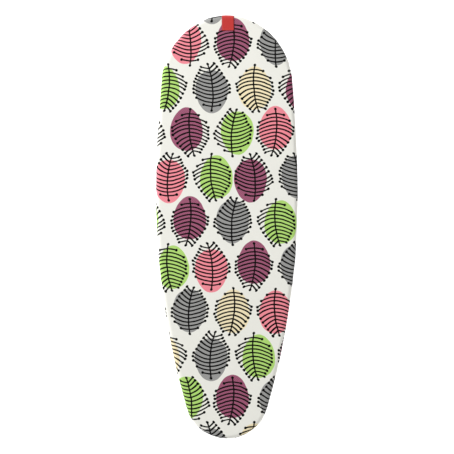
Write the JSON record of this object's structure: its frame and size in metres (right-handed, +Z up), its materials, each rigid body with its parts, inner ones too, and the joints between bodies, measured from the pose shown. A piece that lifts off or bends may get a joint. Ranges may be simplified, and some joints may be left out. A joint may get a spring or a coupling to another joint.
{
  "type": "ironing board",
  "caption": "Full-size folding ironing board: long padded top with a rounded wide end and a narrow nose, on crossed tubular leg frames with a notched height latch.",
  "frame": {"origin": "on the floor under the middle of the top's outline", "axes": "+X towards the wide end, +Y towards the left edge seen from the nose end, +Z up"},
  "size_m": [1.2131, 0.406, 0.8846],
  "materials": {
    "cover_fabric": "matt woven cotton with a printed leaf pattern",
    "felt": "matt felt",
    "hem_tape": "matt elastic tape",
    "red_tag": "satin woven tag",
    "plate_paint": "satin",
    "frame_paint": "satin",
    "leg_paint": "semi-gloss",
    "zinc": "zinc plated",
    "dark_plastic": "matt",
    "cap_rubber": "matt"
  },
  "bodies": {
    "board": {"mesh_plate": "plate_paint", "rim": "plate_paint", "cross_ribs": "plate_paint", "rail_left": "frame_paint", "rail_right": "frame_paint", "rail_tie_wide": "frame_paint", "rail_tie_nose": "frame_paint", "pivot_bracket_left": "frame_paint", "pivot_bracket_right": "frame_paint", "pivot_pin_left": "zinc", "pivot_pin_right": "zinc", "latch_pin": "zinc", "foam_pad": "felt", "edge_padding": "felt", "cover": "cover_fabric", "hem_binding": "hem_tape", "label_tag": "red_tag"},
    "outer_legs": {"outer_leg_left": "leg_paint", "outer_leg_right": "leg_paint", "outer_leg_plugs": "dark_plastic", "outer_foot_bar": "leg_paint", "outer_foot_cap_left": "cap_rubber", "outer_foot_cap_right": "cap_rubber", "centre_bolt_left": "zinc", "centre_bolt_right": "zinc", "centre_nuts": "zinc", "centre_spacers": "dark_plastic"},
    "inner_legs": {"inner_leg_left": "leg_paint", "inner_leg_right": "leg_paint", "inner_leg_plugs": "dark_plastic", "inner_foot_bar": "leg_paint", "inner_foot_cap_left": "cap_rubber", "inner_foot_cap_right": "cap_rubber", "inner_crossbar": "leg_paint", "slider_rod": "zinc", "slider_bushes": "dark_plastic"},
    "latch": {"latch_bar": "zinc", "lever_wire": "zinc", "lever_grip": "dark_plastic"}
  },
  "joints": [
    {"name": "leg_fold", "type": "hinge", "parent": "board", "child": "outer_legs", "pos_m": [0.472, 0, 0.84], "axis": [0, 1, 0], "range_deg": [-5, 50]},
    {"name": "scissor", "type": "hinge", "parent": "outer_legs", "child": "inner_legs", "pos_m": [0.16025, 0, 0.46847], "axis": [0, 1, 0], "range_deg": [-100, 10]},
    {"name": "latch_lift", "type": "hinge", "parent": "board", "child": "latch", "pos_m": [-0.5, 0, 0.854], "axis": [0, -1, 0], "range_deg": [0, 1.7]}
  ],
  "couplings": [
    {"joint": "scissor", "follows": "leg_fold", "ratio": -2}
  ]
}
